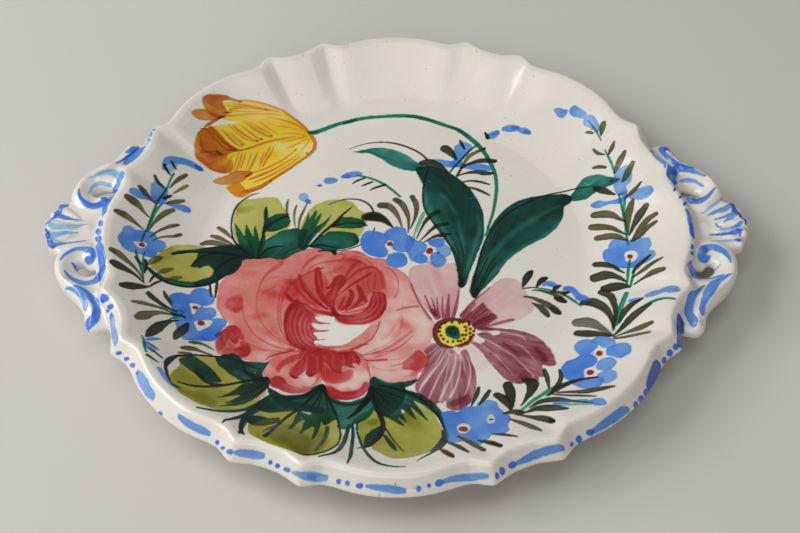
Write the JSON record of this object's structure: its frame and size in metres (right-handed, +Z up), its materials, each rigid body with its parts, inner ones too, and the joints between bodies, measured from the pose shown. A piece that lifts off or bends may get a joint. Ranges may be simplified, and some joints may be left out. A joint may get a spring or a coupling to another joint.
{
  "type": "two-handled scalloped serving dish",
  "caption": "Shallow round glazed ceramic serving dish with a fluted wall, rolled scalloped rim, foot ring and pierced scroll-and-shell handles on two sides.",
  "frame": {"origin": "centre of the circle on which the foot ring stands", "axes": "+Z up out of the well, +X through the middle of the right handle, +Y towards the back edge as the dish is seen"},
  "size_m": [0.3219, 0.2774, 0.0257],
  "materials": {
    "glaze": "ivory tin glaze, glossy, with a bouquet and blue rim dashes painted by brush",
    "handle_glaze": "ivory tin glaze, glossy, with cobalt blue brush strokes",
    "bare_clay": "unglazed buff earthenware, wiped clean for firing"
  },
  "bodies": {
    "root": {"dish": "glaze", "handle_left": "handle_glaze", "handle_right": "handle_glaze", "foot_ring": "bare_clay"}
  },
  "joints": []
}
